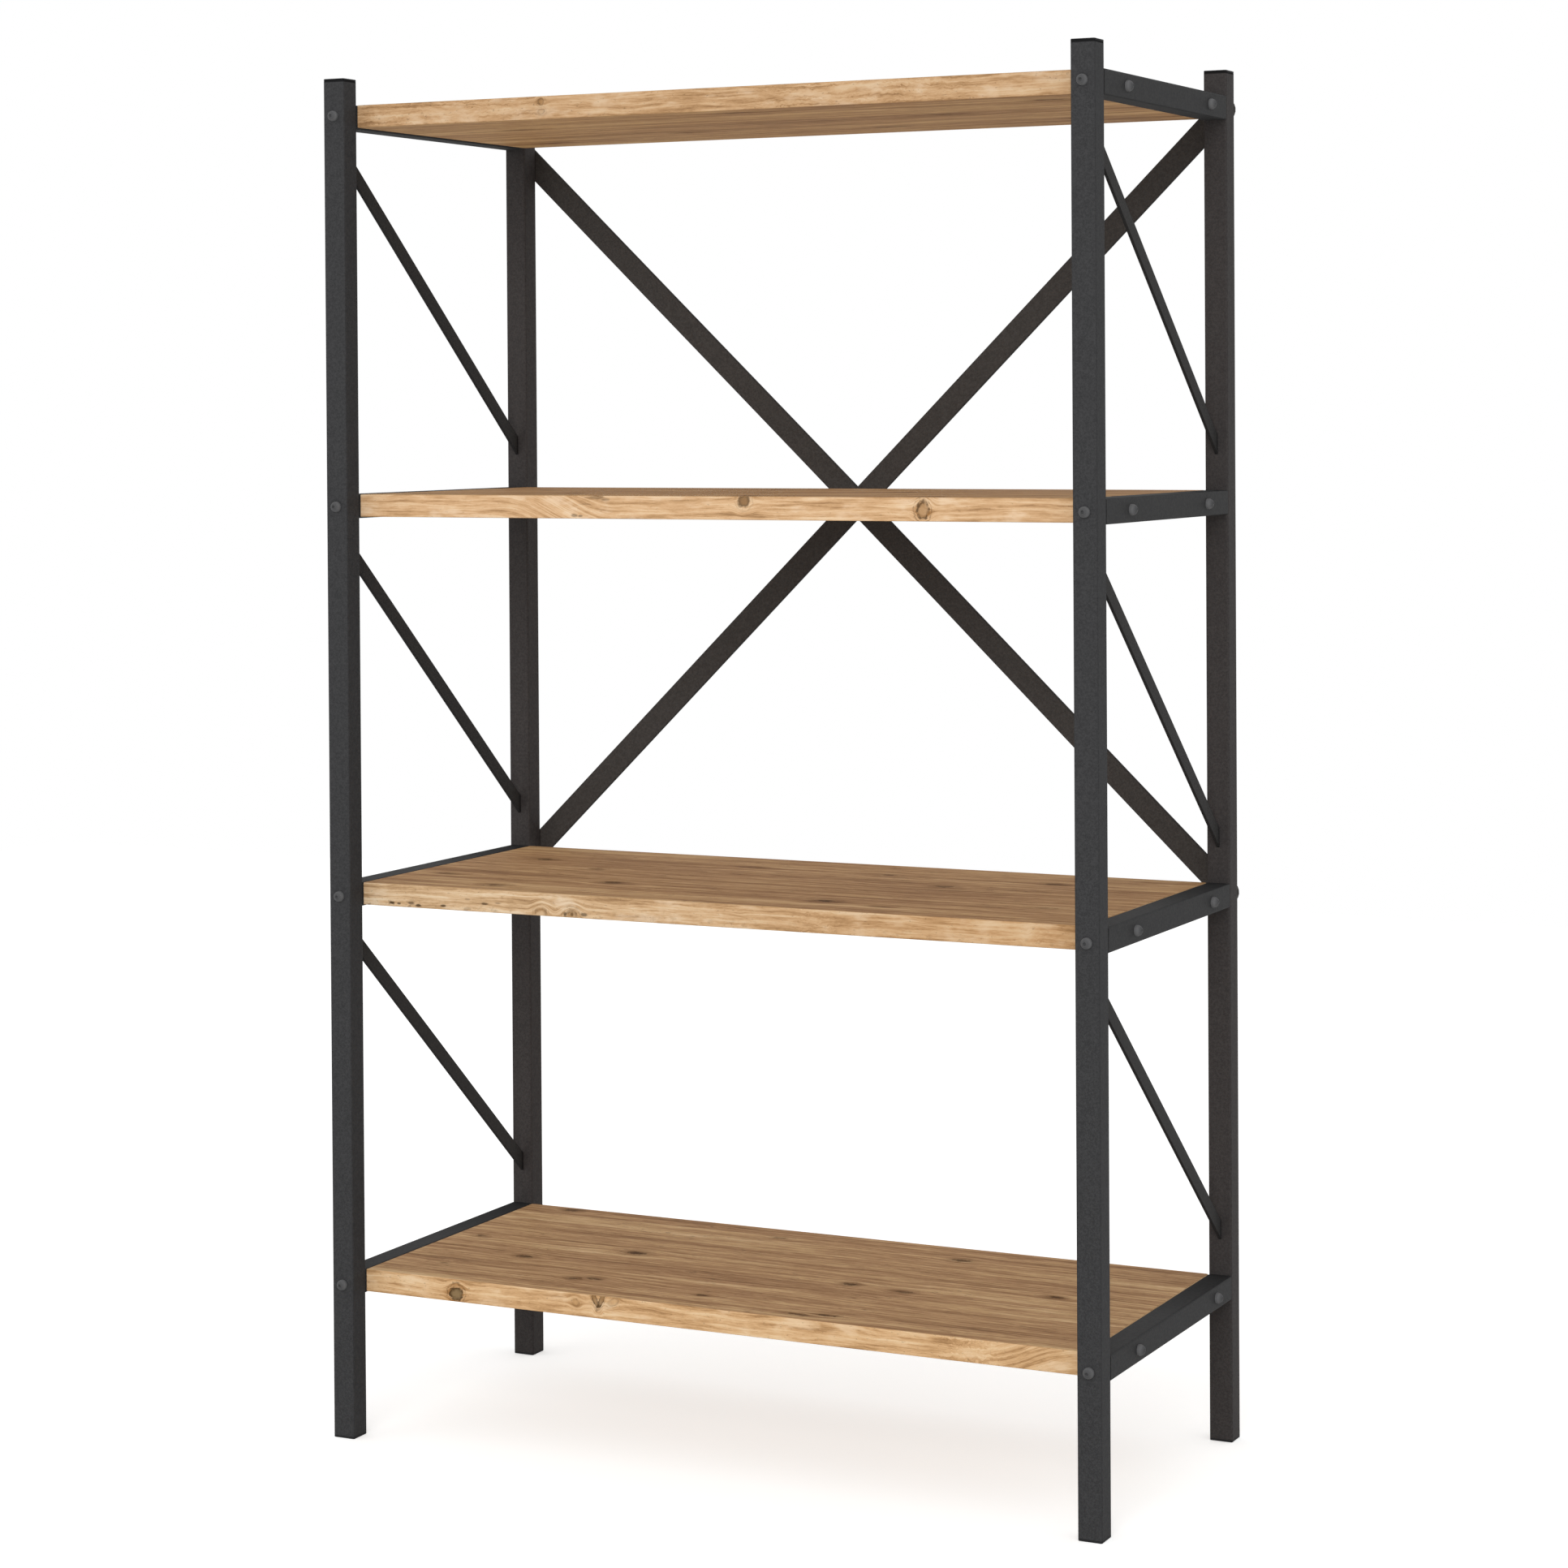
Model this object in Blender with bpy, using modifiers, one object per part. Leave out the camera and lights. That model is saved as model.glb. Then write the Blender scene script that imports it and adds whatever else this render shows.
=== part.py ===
# An open shelving rack: two side frames of square tube, four boards between them and crossed bars behind.
# X runs along the boards, Y from front to back and Z up. The origin is under the middle of the whole box.

import math

import bmesh
import bpy
from mathutils import Matrix, Vector

# Whole rack, in metres, over the outer faces of the posts and from the floor to the tops of the caps
RACK_WIDTH = 0.860
RACK_DEPTH = 0.398
RACK_HEIGHT = 1.421

# Levels, counted up from the floor, at the centres of the rails and evenly apart
LEVEL_COUNT = 4
LOWEST_LEVEL_HEIGHT = 0.161
RISE_ABOVE_TOP_LEVEL = 0.039

# Square tube of the posts and rails
TUBE_SIZE = 0.025
TUBE_WALL = 0.0012
TUBE_CORNER_RADIUS = 0.0018
TUBE_CORNER_STEPS = 2
RAIL_END_PLATE = 0.003

# Boards, flush with the tops of the rails
BOARD_THICKNESS = 0.0235
BOARD_EDGE_RADIUS = 0.001
BOARD_EDGE_STEPS = 2

# Slanting bars of the side frames, each falling from the front post to the back post
SIDE_BAR_WIDTH = 0.015
SIDE_BAR_THICKNESS = 0.003
SIDE_BAR_DROP = 0.0465
SIDE_BAR_RISE = 0.0595

# Crossed bars on the back faces of the back posts
CROSS_BAR_WIDTH = 0.025
CROSS_BAR_THICKNESS = 0.004
CROSS_BAR_END_STEPS = 10
CROSS_BAR_LOWER_LEVEL = 1
CROSS_BAR_UPPER_LEVEL = 3
CROSS_BAR_LEFT_DROP = 0.019
CROSS_BAR_STATIONS = 28

# Domed bolts with a hexagon socket
BOLT_RADIUS = 0.003
BOLT_STEPS = 12
BOLT_TIP_CHAMFER = 0.0007
HEAD_RADIUS = 0.0055
HEAD_RIM_HEIGHT = 0.0015
HEAD_DOME_HEIGHT = 0.0055
HEAD_DOME_STEPS = 3
SOCKET_RADIUS = 0.0023
SOCKET_DEPTH = 0.0035
SOCKET_SIDES = 6
BOLT_REACH_PAST_PLATE = 0.007
BOLT_REACH_IN_BOARD = 0.025
BOLT_REACH_IN_POST = 0.010
SHANK_CLEARANCE = 0.0005
BOARD_HOLE_SPARE = 0.003
HOLE_STEPS = 12

# Where the bolts into the boards sit along the rails, front and back, level by level from the floor up
BOARD_BOLT_SHARES = (
    (0.214, 0.866),
    (0.209, 0.846),
    (0.186, 0.817),
    (0.171, 0.857),
)

# Plastic caps in the ends of the posts
CAP_FLANGE = 0.002
CAP_EDGE_RADIUS = 0.0005
CAP_PLUG_DEPTH = 0.012
CAP_PLUG_WALL = 0.0015
CAP_PLUG_CLEARANCE = 0.0003

# Between pieces that touch, past the faces of what is cut, and between points that are made one
SEAT_GAP = 0.0003
CUT_OVERRUN = 0.002
WELD_DISTANCE = 0.00001

# Facets flatter than the first are shaded as one surface, and than the second are made one
SMOOTH_ANGLE = math.radians(40)
FLAT_ANGLE = math.radians(1)
QUARTER_TURN = math.pi / 2

# Places worked out from the sizes above
LEVEL_PITCH = (RACK_HEIGHT - LOWEST_LEVEL_HEIGHT - RISE_ABOVE_TOP_LEVEL) / (LEVEL_COUNT - 1)
LEVELS = tuple(LOWEST_LEVEL_HEIGHT + index * LEVEL_PITCH for index in range(LEVEL_COUNT))
MIDDLE_Y = -(CROSS_BAR_THICKNESS + SEAT_GAP) / 2
FRONT_Y = MIDDLE_Y - RACK_DEPTH / 2
BACK_Y = MIDDLE_Y + RACK_DEPTH / 2
POST_X = (RACK_WIDTH - TUBE_SIZE) / 2
POST_Y_OFFSET = (RACK_DEPTH - TUBE_SIZE) / 2
RAIL_LENGTH = RACK_DEPTH - 2 * TUBE_SIZE - 2 * SEAT_GAP
BOARD_LENGTH = RACK_WIDTH - 2 * TUBE_SIZE - 2 * SEAT_GAP
HOLE_RADIUS = BOLT_RADIUS + SHANK_CLEARANCE
SIDES = (("left", -1), ("right", 1))
ENDS = (("front", -1), ("back", 1))


def clear_scene():
    for item in list(bpy.data.objects):
        bpy.data.objects.remove(item, do_unlink=True)


def new_collection(name):
    collection = bpy.data.collections.new(name)
    bpy.context.scene.collection.children.link(collection)
    return collection


def new_material(name, colour, roughness, metallic):
    material = bpy.data.materials.new(name)
    material.use_nodes = True
    shader = material.node_tree.nodes["Principled BSDF"]
    shader.inputs["Base Color"].default_value = (*colour, 1)
    shader.inputs["Roughness"].default_value = roughness
    shader.inputs["Metallic"].default_value = metallic
    return material


def new_object(name, data, collection, material=None):
    item = bpy.data.objects.new(name, data)
    collection.objects.link(item)
    if material:
        data.materials.append(material)
    return item


def mesh_from(form, name):
    mesh = bpy.data.meshes.new(name)
    form.to_mesh(mesh)
    form.free()
    return mesh


def rounded_square(size, radius, steps):
    # Anticlockwise round the origin, from the corner at +X +Y
    if radius <= 0:
        return [(sx * size / 2, sy * size / 2) for sx, sy in ((1, 1), (-1, 1), (-1, -1), (1, -1))]
    reach = size / 2 - radius
    points = []
    for quarter, (sx, sy) in enumerate(((1, 1), (-1, 1), (-1, -1), (1, -1))):
        for step in range(steps + 1):
            angle = (quarter + step / steps) * QUARTER_TURN
            points.append((sx * reach + radius * math.cos(angle), sy * reach + radius * math.sin(angle)))
    return points


def circle(centre_x, radius, steps):
    turn = 2 * math.pi / steps
    return [(centre_x + radius * math.cos(i * turn), radius * math.sin(i * turn)) for i in range(steps)]


def long_round_end_outline(hole_spacing, width, steps):
    # A bar with a half-round end about each of two holes on the X axis
    points = []
    for side in (1, -1):
        for step in range(steps + 1):
            angle = (step / steps - 1 / 2) * math.pi * side
            x = side * (hole_spacing / 2 + width / 2 * math.cos(angle))
            points.append((x, width / 2 * math.sin(angle)))
    return points


def extruded_outline(name, loops, thickness, collection):
    curve = bpy.data.curves.new(name, "CURVE")
    curve.dimensions = "2D"
    curve.fill_mode = "BOTH"
    curve.extrude = thickness / 2
    for loop in loops:
        spline = curve.splines.new("POLY")
        spline.points.add(len(loop) - 1)
        for point, (x, y) in zip(spline.points, loop):
            point.co = (x, y, 0, 1)
        spline.use_cyclic_u = True
    return new_object(name, curve, collection)


def made_mesh(source, name, collection, material=None):
    # The source as its modifiers and outline leave it, welded, in the same place
    bpy.context.view_layer.update()
    mesh = bpy.data.meshes.new_from_object(source.evaluated_get(bpy.context.evaluated_depsgraph_get()))
    form = bmesh.new()
    form.from_mesh(mesh)
    bmesh.ops.remove_doubles(form, verts=form.verts, dist=WELD_DISTANCE)
    form.to_mesh(mesh)
    form.free()
    mesh.name = name
    mesh.materials.clear()
    place = source.matrix_world.copy()
    bpy.data.objects.remove(source, do_unlink=True)
    item = new_object(name, mesh, collection, material)
    item.matrix_world = place
    return item


def loose_mesh(source, name, material):
    # The mesh alone, for several objects to share, as it lies about the world's origin
    finished = made_mesh(source, name, cutters, material)
    mesh = finished.data
    mesh.transform(finished.matrix_world)
    bpy.data.objects.remove(finished, do_unlink=True)
    return mesh


def as_cutter(item):
    item.hide_render = True
    item.display_type = "WIRE"
    return item


def combine(target, tool, operation):
    change = target.modifiers.new(tool.name, "BOOLEAN")
    change.operation = operation
    change.solver = "EXACT"
    change.object = tool


def bore_cutter(name, bores):
    # Each bore is its middle, the way it runs and its length
    form = bmesh.new()
    for middle, way, length in bores:
        turn = Vector((0, 0, 1)).rotation_difference(Vector(way)).to_matrix().to_4x4()
        bmesh.ops.create_cone(
            form,
            cap_ends=True,
            segments=HOLE_STEPS,
            radius1=HOLE_RADIUS,
            radius2=HOLE_RADIUS,
            depth=length,
            matrix=Matrix.Translation(middle) @ turn,
        )
    return as_cutter(new_object(name, mesh_from(form, name), cutters))


def box(name, size, collection, material=None):
    form = bmesh.new()
    bmesh.ops.create_cube(form, size=1)
    bmesh.ops.scale(form, vec=size, verts=form.verts)
    return new_object(name, mesh_from(form, name), collection, material)


def tube_outside():
    return rounded_square(TUBE_SIZE, TUBE_CORNER_RADIUS, TUBE_CORNER_STEPS)


def tube_inside():
    return rounded_square(TUBE_SIZE - 2 * TUBE_WALL, TUBE_CORNER_RADIUS - TUBE_WALL, TUBE_CORNER_STEPS)


def make_post(side_name, side, end_name, end):
    name = f"post_{end_name}_{side_name}"
    length = RACK_HEIGHT - 2 * (CAP_FLANGE + SEAT_GAP)
    outline = extruded_outline(name, [tube_outside(), tube_inside()], length, rack)
    outline.location = (side * POST_X, MIDDLE_Y + end * POST_Y_OFFSET, RACK_HEIGHT / 2)
    post = made_mesh(outline, name, rack, frame_paint)
    x, y = post.location.xy
    through = TUBE_SIZE + 2 * CUT_OVERRUN
    bores = [((x, y, level), (0, 1, 0), through) for level in LEVELS]
    if (side_name, end_name) == ("left", "back"):
        into_wall = 2 * (TUBE_WALL + CUT_OVERRUN)
        bores.append(((x, BACK_Y, LEVELS[CROSS_BAR_UPPER_LEVEL] - CROSS_BAR_LEFT_DROP), (0, 1, 0), into_wall))
    combine(post, bore_cutter(f"{name}_bores", bores), "DIFFERENCE")


def make_cap_mesh():
    # A square flange as wide as the tube, eased round its outer face, with a hollow plug under it
    outline = extruded_outline("cap_flange", [tube_outside()], CAP_FLANGE, cutters)
    outline.location = (0, 0, CAP_FLANGE / 2)
    cap = made_mesh(outline, "post_cap", cutters, cap_plastic)
    form = bmesh.new()
    form.from_mesh(cap.data)
    bmesh.ops.dissolve_limit(form, angle_limit=FLAT_ANGLE, verts=form.verts, edges=form.edges)
    outer_face = max(form.faces, key=lambda face: face.calc_center_median().z)
    bmesh.ops.bevel(form, geom=outer_face.edges[:], offset=CAP_EDGE_RADIUS, segments=1, affect="EDGES")
    form.to_mesh(cap.data)
    form.free()
    plug_size = TUBE_SIZE - 2 * (TUBE_WALL + CAP_PLUG_CLEARANCE)
    plug_radius = TUBE_CORNER_RADIUS - TUBE_WALL - CAP_PLUG_CLEARANCE
    loops = [
        rounded_square(plug_size, plug_radius, TUBE_CORNER_STEPS),
        rounded_square(plug_size - 2 * CAP_PLUG_WALL, plug_radius - CAP_PLUG_WALL, TUBE_CORNER_STEPS),
    ]
    plug_outline = extruded_outline("cap_plug", loops, CAP_PLUG_DEPTH + CAP_FLANGE / 2, cutters)
    plug_outline.location = (0, 0, (CAP_FLANGE / 2 - CAP_PLUG_DEPTH) / 2)
    plug = made_mesh(plug_outline, "cap_plug", cutters)
    combine(cap, plug, "UNION")
    mesh = loose_mesh(cap, "post_cap", cap_plastic)
    bpy.data.objects.remove(plug, do_unlink=True)
    return mesh


def make_caps(cap_mesh, side_name, side, end_name, end):
    place = (side * POST_X, MIDDLE_Y + end * POST_Y_OFFSET)
    top_cap = new_object(f"top_cap_{end_name}_{side_name}", cap_mesh, rack)
    top_cap.location = (*place, RACK_HEIGHT - CAP_FLANGE)
    foot_cap = new_object(f"foot_cap_{end_name}_{side_name}", cap_mesh, rack)
    foot_cap.location = (*place, CAP_FLANGE)
    foot_cap.rotation_euler = (math.pi, 0, 0)


def board_bolt_places(level_index):
    # Y of the front and back bolts of a level, as they stand along its rails
    return [MIDDLE_Y + (share - 1 / 2) * RAIL_LENGTH for share in BOARD_BOLT_SHARES[level_index]]


def make_rail(side_name, side, level_index, level):
    # A tube closed by a plate at each end, where the bolts through the posts take hold
    name = f"rail_{side_name}_{level_index + 1}"
    outside = extruded_outline(name, [tube_outside()], RAIL_LENGTH, rack)
    hollow = extruded_outline(f"{name}_hollow", [tube_inside()], RAIL_LENGTH - 2 * RAIL_END_PLATE, cutters)
    for item in (outside, hollow):
        item.location = (side * POST_X, MIDDLE_Y, level)
        item.rotation_euler = (QUARTER_TURN, 0, 0)
    rail = made_mesh(outside, name, rack, frame_paint)
    combine(rail, as_cutter(made_mesh(hollow, f"{name}_hollow", cutters)), "DIFFERENCE")
    x = rail.location.x
    into_plate = 2 * (RAIL_END_PLATE + CUT_OVERRUN)
    bores = [((x, MIDDLE_Y + end * RAIL_LENGTH / 2, level), (0, 1, 0), into_plate) for _, end in ENDS]
    through = TUBE_SIZE + 2 * CUT_OVERRUN
    bores += [((x, y, level), (1, 0, 0), through) for y in board_bolt_places(level_index)]
    combine(rail, bore_cutter(f"{name}_bores", bores), "DIFFERENCE")


def make_board(level_index, level):
    name = f"shelf_board_{level_index + 1}"
    board = box(name, (BOARD_LENGTH, RAIL_LENGTH, BOARD_THICKNESS), rack, board_wood)
    board.location = (0, MIDDLE_Y, level + TUBE_SIZE / 2 - BOARD_THICKNESS / 2)
    edges = board.modifiers.new("eased_edges", "BEVEL")
    edges.width = BOARD_EDGE_RADIUS
    edges.segments = BOARD_EDGE_STEPS
    depth = BOLT_REACH_IN_BOARD + BOARD_HOLE_SPARE
    bores = []
    for _, side in SIDES:
        for y in board_bolt_places(level_index):
            bores.append(((side * BOARD_LENGTH / 2, y, level), (1, 0, 0), 2 * depth))
    combine(board, bore_cutter(f"{name}_bores", bores), "DIFFERENCE")


def make_side_bar(side_name, side, level_index):
    # From the front post under one level to the back post over the next level down, its ends cut upright
    upper = LEVELS[level_index + 1] - SIDE_BAR_DROP
    lower = LEVELS[level_index] + SIDE_BAR_RISE
    fall = (upper - lower) / 2
    reach = RAIL_LENGTH / 2
    half_height = SIDE_BAR_WIDTH / 2 / math.cos(math.atan2(fall, reach))
    outline = [
        (-reach, fall - half_height),
        (reach, -fall - half_height),
        (reach, -fall + half_height),
        (-reach, fall + half_height),
    ]
    name = f"side_bar_{side_name}_{level_index + 1}"
    bar = extruded_outline(name, [outline], SIDE_BAR_THICKNESS, rack)
    bar.data.materials.append(frame_paint)
    bar.location = (side * POST_X, MIDDLE_Y, (upper + lower) / 2)
    bar.rotation_euler = (QUARTER_TURN, 0, QUARTER_TURN)


def cross_bar_outline(name, low, high, way, thickness, collection):
    # A flat bar with a hole over each post, low at one side and high at the other
    rise = way * (high - low)
    spacing = math.hypot(2 * POST_X, rise)
    loops = [long_round_end_outline(spacing, CROSS_BAR_WIDTH, CROSS_BAR_END_STEPS)]
    loops += [circle(side * spacing / 2, HOLE_RADIUS, HOLE_STEPS) for _, side in SIDES]
    bar = extruded_outline(name, loops, thickness, collection)
    bar.location = (0, BACK_Y + SEAT_GAP + CROSS_BAR_THICKNESS / 2, (low + high) / 2)
    bar.rotation_euler = (QUARTER_TURN, -math.atan2(rise, 2 * POST_X), 0)
    return bar


def make_cross_bars():
    # The rising bar lies straight on the posts, and the falling one springs over it where they cross
    low = LEVELS[CROSS_BAR_LOWER_LEVEL]
    high_right = LEVELS[CROSS_BAR_UPPER_LEVEL]
    high_left = high_right - CROSS_BAR_LEFT_DROP
    rising = cross_bar_outline("cross_bar_rising", low, high_right, 1, CROSS_BAR_THICKNESS, rack)
    rising.data.materials.append(frame_paint)

    lift = CROSS_BAR_THICKNESS + SEAT_GAP
    outline = cross_bar_outline("cross_bar_outline", low, high_left, -1, 4 * lift, cutters)
    spacing = math.hypot(2 * POST_X, high_left - low)
    crossing_share = (high_left - low) / (high_right - low + high_left - low)
    crossing = (crossing_share - 1 / 2) * spacing
    blank_size = (spacing + CROSS_BAR_WIDTH + 2 * CUT_OVERRUN, CROSS_BAR_WIDTH + 2 * CUT_OVERRUN, 1)
    form = bmesh.new()
    bmesh.ops.create_grid(form, x_segments=CROSS_BAR_STATIONS, y_segments=1, size=1 / 2)
    bmesh.ops.scale(form, vec=blank_size, verts=form.verts)
    for vertex in form.verts:
        flat_end = math.copysign((spacing - CROSS_BAR_WIDTH) / 2, vertex.co.x - crossing)
        share = min(max((vertex.co.x - flat_end) / (crossing - flat_end), 0), 1)
        vertex.co.z = -lift * (1 - math.cos(math.pi * share)) / 2
    falling = new_object("cross_bar_falling", mesh_from(form, "cross_bar_falling"), rack, frame_paint)
    falling.location = outline.location
    falling.rotation_euler = outline.rotation_euler
    wall = falling.modifiers.new("thickness", "SOLIDIFY")
    wall.thickness = CROSS_BAR_THICKNESS
    wall.offset = 0
    combine(falling, as_cutter(made_mesh(outline, "cross_bar_outline", cutters)), "INTERSECT")


def make_bolt_mesh(name, length):
    # Half a section turned about Z, with the seat of the head at zero and the shank below it
    profile = []
    for step in range(HEAD_DOME_STEPS + 1):
        angle = step / HEAD_DOME_STEPS * QUARTER_TURN
        height = HEAD_RIM_HEIGHT + HEAD_DOME_HEIGHT * math.cos(angle)
        profile.append((HEAD_RADIUS * math.sin(angle), height))
    profile += [
        (HEAD_RADIUS, 0),
        (BOLT_RADIUS, 0),
        (BOLT_RADIUS, BOLT_TIP_CHAMFER - length),
        (BOLT_RADIUS - BOLT_TIP_CHAMFER, -length),
        (0, -length),
    ]
    form = bmesh.new()
    points = [form.verts.new((x, 0, z)) for x, z in profile]
    for first, second in zip(points, points[1:]):
        form.edges.new((first, second))
    turned = new_object(name, mesh_from(form, name), cutters)
    turn = turned.modifiers.new("turn", "SCREW")
    turn.steps = BOLT_STEPS
    turn.render_steps = BOLT_STEPS
    turn.use_merge_vertices = True
    turn.merge_threshold = WELD_DISTANCE
    form = bmesh.new()
    top = HEAD_RIM_HEIGHT + HEAD_DOME_HEIGHT
    bmesh.ops.create_cone(
        form,
        cap_ends=True,
        segments=SOCKET_SIDES,
        radius1=SOCKET_RADIUS,
        radius2=SOCKET_RADIUS,
        depth=2 * SOCKET_DEPTH,
        matrix=Matrix.Translation((0, 0, top)),
    )
    socket = new_object(f"{name}_socket", mesh_from(form, f"{name}_socket"), cutters)
    combine(turned, socket, "DIFFERENCE")
    mesh = loose_mesh(turned, name, bolt_metal)
    bpy.data.objects.remove(socket, do_unlink=True)
    mesh.shade_smooth()
    mesh.set_sharp_from_angle(angle=SMOOTH_ANGLE)
    return mesh


def place_bolt(name, mesh, seat, outward):
    # The head stands outwards from its seat, and the shank runs inwards
    bolt = new_object(name, mesh, rack)
    bolt.location = Vector(seat) + Vector(outward) * SEAT_GAP
    bolt.rotation_euler = Vector((0, 0, 1)).rotation_difference(Vector(outward)).to_euler()


def make_bolts():
    past_plate = TUBE_SIZE + RAIL_END_PLATE + BOLT_REACH_PAST_PLATE
    rail_bolt = make_bolt_mesh("rail_bolt", past_plate)
    board_bolt = make_bolt_mesh("board_bolt", TUBE_SIZE + BOLT_REACH_IN_BOARD)
    cross_bolt = make_bolt_mesh("cross_bolt", CROSS_BAR_THICKNESS + past_plate)
    short_bolt = make_bolt_mesh("short_bolt", CROSS_BAR_THICKNESS + TUBE_WALL + BOLT_REACH_IN_POST)
    for side_name, side in SIDES:
        for index, level in enumerate(LEVELS):
            number = index + 1
            place_bolt(f"rail_bolt_{side_name}_{number}", rail_bolt, (side * POST_X, FRONT_Y, level), (0, -1, 0))
            for (end_name, _), y in zip(ENDS, board_bolt_places(index)):
                name = f"board_bolt_{end_name}_{side_name}_{number}"
                place_bolt(name, board_bolt, (side * RACK_WIDTH / 2, y, level), (side, 0, 0))
    bar_face = BACK_Y + SEAT_GAP + CROSS_BAR_THICKNESS
    low = LEVELS[CROSS_BAR_LOWER_LEVEL]
    high = LEVELS[CROSS_BAR_UPPER_LEVEL]
    for side_name, side in SIDES:
        place_bolt(f"cross_bolt_low_{side_name}", cross_bolt, (side * POST_X, bar_face, low), (0, 1, 0))
    place_bolt("cross_bolt_high_right", cross_bolt, (POST_X, bar_face, high), (0, 1, 0))
    seat = (-POST_X, bar_face, high - CROSS_BAR_LEFT_DROP)
    place_bolt("cross_bolt_high_left", short_bolt, seat, (0, 1, 0))


clear_scene()
rack = new_collection("open_shelving_rack")
cutters = new_collection("cutters")
frame_paint = new_material("charcoal_frame_paint", (0.050, 0.048, 0.046), 0.55, 0.2)
board_wood = new_material("knotty_board", (0.52, 0.32, 0.16), 0.6, 0)
cap_plastic = new_material("black_cap_plastic", (0.012, 0.012, 0.012), 0.5, 0)
bolt_metal = new_material("dark_bolt_metal", (0.075, 0.075, 0.075), 0.4, 0.6)

post_cap = make_cap_mesh()
for side_label, side_sign in SIDES:
    for end_label, end_sign in ENDS:
        make_post(side_label, side_sign, end_label, end_sign)
        make_caps(post_cap, side_label, side_sign, end_label, end_sign)
    for number, height in enumerate(LEVELS):
        make_rail(side_label, side_sign, number, height)
    for number in range(LEVEL_COUNT - 1):
        make_side_bar(side_label, side_sign, number)
for number, height in enumerate(LEVELS):
    make_board(number, height)
make_cross_bars()
make_bolts()
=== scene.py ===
import math
import bpy
import bmesh
from mathutils import Matrix, Vector


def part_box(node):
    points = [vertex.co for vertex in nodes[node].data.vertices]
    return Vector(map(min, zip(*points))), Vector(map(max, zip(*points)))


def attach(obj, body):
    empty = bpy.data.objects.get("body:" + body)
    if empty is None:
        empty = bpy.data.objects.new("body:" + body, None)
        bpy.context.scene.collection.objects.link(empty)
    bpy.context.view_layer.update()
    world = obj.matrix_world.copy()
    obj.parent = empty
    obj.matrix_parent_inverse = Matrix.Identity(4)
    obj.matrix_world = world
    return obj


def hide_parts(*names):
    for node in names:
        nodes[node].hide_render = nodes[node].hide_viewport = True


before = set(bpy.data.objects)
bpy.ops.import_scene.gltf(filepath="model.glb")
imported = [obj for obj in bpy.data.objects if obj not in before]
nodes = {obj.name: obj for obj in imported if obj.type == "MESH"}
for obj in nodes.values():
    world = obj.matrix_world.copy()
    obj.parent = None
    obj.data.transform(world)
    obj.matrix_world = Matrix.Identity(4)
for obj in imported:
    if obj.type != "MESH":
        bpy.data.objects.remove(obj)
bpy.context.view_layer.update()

mm = 0.001
print("frame loaded:", len(nodes), "nodes")

camera = {
    "place": (1.674606, -3.409321, 1.072517),
    "turn": 0.455665,        # to the left, round the vertical
    "tip": -0.014022,        # a little downwards
    "roll": -0.00624,
    "focalLength": 83.71,
    "sensor": 36.0,
    "shiftDown": 0.20558,    # share of the picture's width
    "nearest": 0.05,
    "farthest": 60.0,
}


def makeCamera():
    data = bpy.data.cameras.new("camera")
    data.sensor_fit = "HORIZONTAL"
    data.sensor_width = camera["sensor"]
    data.lens = camera["focalLength"]
    data.shift_y = -camera["shiftDown"]
    data.clip_start = camera["nearest"]
    data.clip_end = camera["farthest"]
    eye = bpy.data.objects.new("camera", data)
    bpy.context.scene.collection.objects.link(eye)
    level = Matrix.Rotation(math.pi / 2 + camera["tip"], 4, "X")
    turned = Matrix.Rotation(camera["turn"], 4, "Z") @ level @ Matrix.Rotation(camera["roll"], 4, "Z")
    eye.matrix_world = Matrix.Translation(camera["place"]) @ turned
    bpy.context.scene.camera = eye


makeCamera()
print("camera stands")


def paint(code):
    # a written colour as the shader's own linear numbers
    levels = [int(code[k:k + 2], 16) / 255 for k in (1, 3, 5)]
    return tuple(p / 12.92 if p <= 0.04045 else ((p + 0.055) / 1.055) ** 2.4 for p in levels) + (1.0,)


class Wire:
    # one socket of a look's nodes, on which sums can be written
    def __init__(self, tree, socket=None):
        self.tree = tree
        self.socket = socket

    def node(self, kind, settings, sockets, output=0):
        made = self.tree.nodes.new(kind)
        for key, value in settings.items():
            if key != "stops":
                setattr(made, key, value)
        for count, (at, colour) in enumerate(settings.get("stops", ())):
            marks = made.color_ramp.elements
            mark = marks[count] if count < 2 else marks.new(at)
            mark.position = at
            mark.color = colour
        for key, value in sockets.items():
            if isinstance(value, Wire):
                self.tree.links.new(value.socket, made.inputs[key])
            else:
                made.inputs[key].default_value = value
        return Wire(self.tree, made.outputs[output] if made.outputs else None)

    def sum(self, operation, first, second):
        return self.node("ShaderNodeMath", {"operation": operation}, {0: first, 1: second})

    def __add__(self, other):
        return self.sum("ADD", self, other)

    def __radd__(self, other):
        return self.sum("ADD", other, self)

    def __sub__(self, other):
        return self.sum("SUBTRACT", self, other)

    def __rsub__(self, other):
        return self.sum("SUBTRACT", other, self)

    def __mul__(self, other):
        return self.sum("MULTIPLY", self, other)

    def __rmul__(self, other):
        return self.sum("MULTIPLY", other, self)

    def __truediv__(self, other):
        return self.sum("DIVIDE", self, other)

    def __rtruediv__(self, other):
        return self.sum("DIVIDE", other, self)


def newLook(name):
    material = bpy.data.materials.new(name)
    material.use_nodes = True
    material.node_tree.nodes.clear()
    return material, Wire(material.node_tree)


def parts(wire, vector):
    split = wire.node("ShaderNodeSeparateXYZ", {}, {0: vector})
    return [Wire(wire.tree, split.socket.node.outputs[k]) for k in range(3)]


def place(wire):
    return wire.node("ShaderNodeTexCoord", {}, {}, "Object")


def normalParts(wire):
    return parts(wire, wire.node("ShaderNodeTexCoord", {}, {}, "Normal"))


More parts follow.
